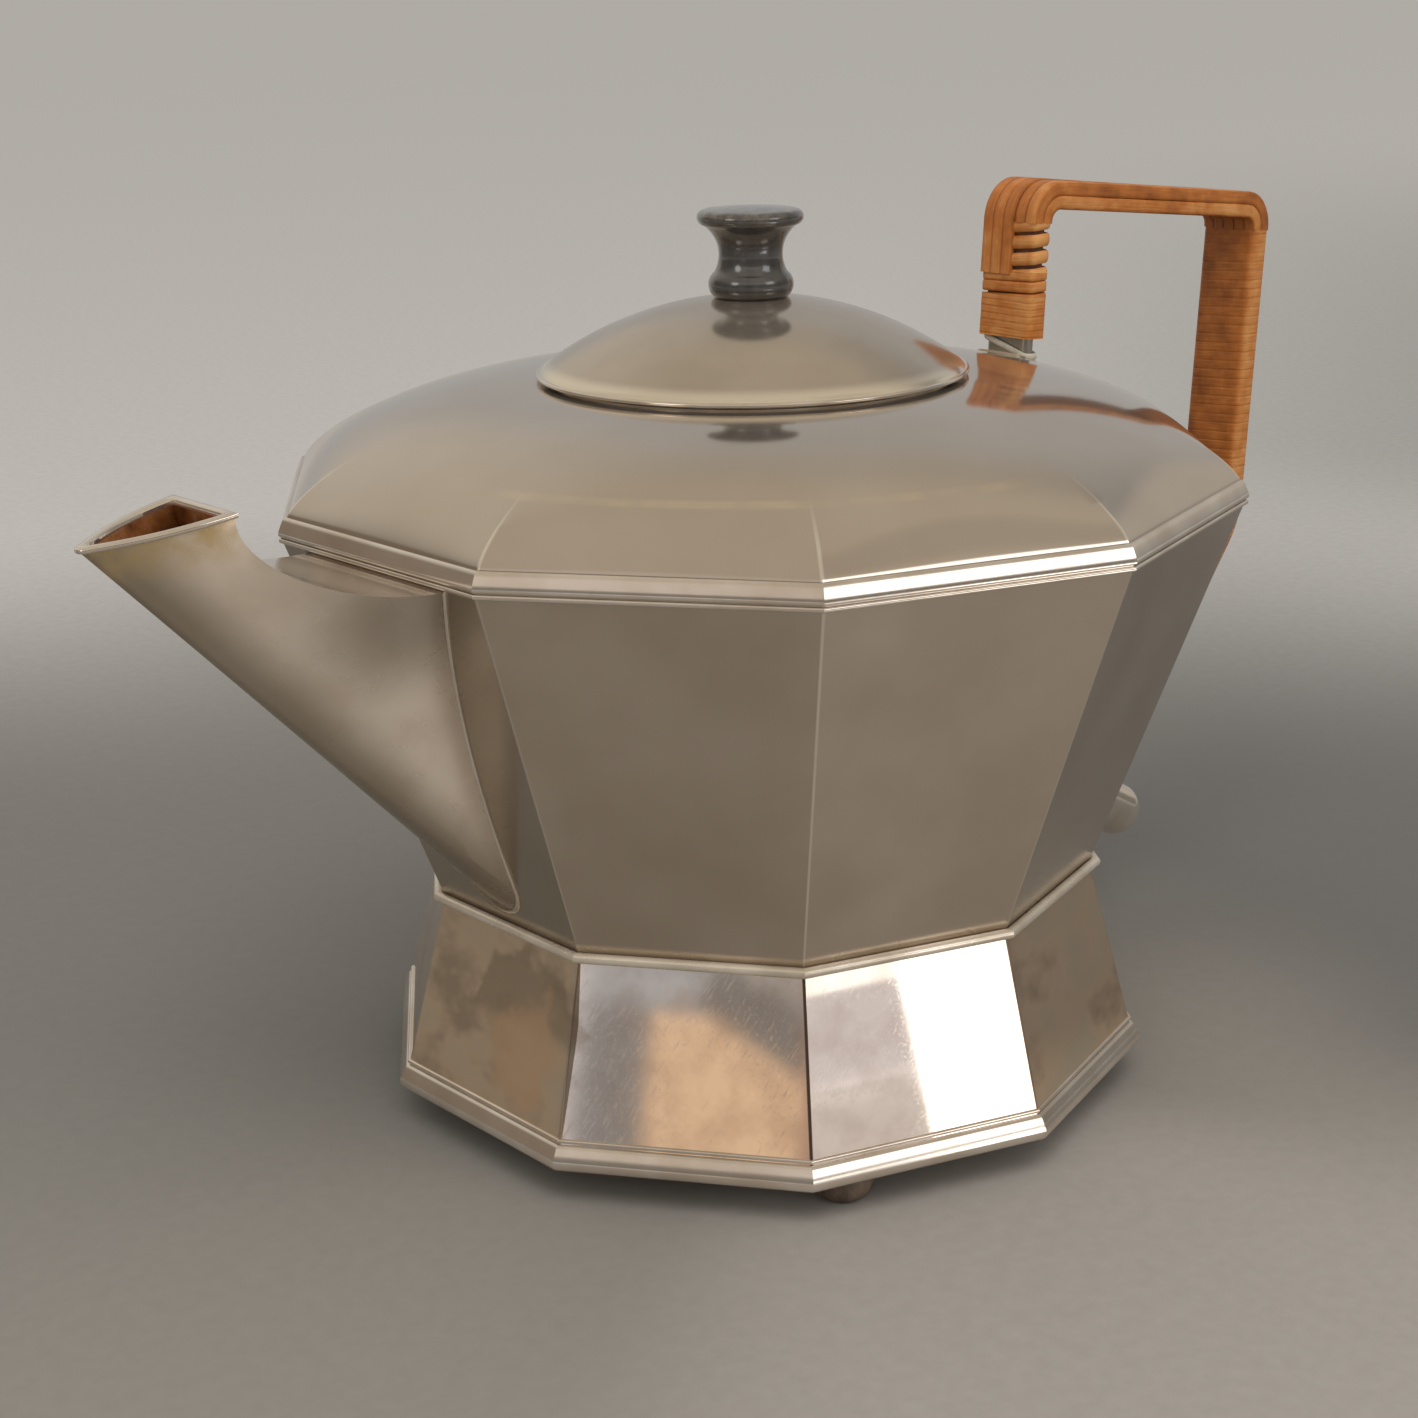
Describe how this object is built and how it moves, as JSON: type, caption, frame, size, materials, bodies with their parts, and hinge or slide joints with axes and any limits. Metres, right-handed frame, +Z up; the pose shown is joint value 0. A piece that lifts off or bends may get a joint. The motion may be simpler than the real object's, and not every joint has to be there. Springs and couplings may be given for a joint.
{
  "type": "teapot",
  "caption": "Faceted silver teapot on a flared foot, with a keeled spout, a lift-off domed lid with a turned knob, and a bent strap handle wound with cane.",
  "frame": {"origin": "on the table, in the plane of the feet's soles, half way along the pot's length; the body's axis is 4.401 mm from it, towards the spout", "axes": "+Z up, +X towards the handle, -X towards the spout"},
  "size_m": [0.2546, 0.161, 0.1468],
  "materials": {
    "silver": "polished silver plate with fine scuffs",
    "cane": "varnished split cane",
    "knob_wood": "polished black-stained wood, worn at the edge",
    "foot_wood": "dull brown wood",
    "brass": "dull brass"
  },
  "bodies": {
    "pot": {"vessel_wall": "silver", "vessel_floor": "silver", "shoulder_cover": "silver", "lid_collar": "silver", "rim_bead": "silver", "rim_wire": "silver", "waist_wire": "silver", "foot_skirt": "silver", "foot_bead": "silver", "foot_wire": "silver", "foot_flange": "silver", "foot_back": "foot_wood", "foot_right": "foot_wood", "foot_left": "foot_wood", "foot_pin_back": "brass", "foot_pin_right": "brass", "foot_pin_left": "brass", "spout_shell": "silver", "spout_lip": "silver", "strainer_plate": "silver", "handle_flange": "silver", "handle_strap": "silver", "handle_arm": "silver", "handle_pin": "silver", "cane_front": "cane", "cane_top": "cane", "cane_rear": "cane", "cane_lower": "cane"},
    "lid": {"lid_dome": "silver", "lid_rim": "silver", "lid_bezel": "silver", "knob": "knob_wood", "knob_washer": "brass", "knob_stud": "brass", "knob_nut": "brass"}
  },
  "joints": [
    {"name": "lid_lift", "type": "slide", "parent": "pot", "child": "lid", "axis": [0, 0, 1], "range_m": [0, 0.06]}
  ]
}
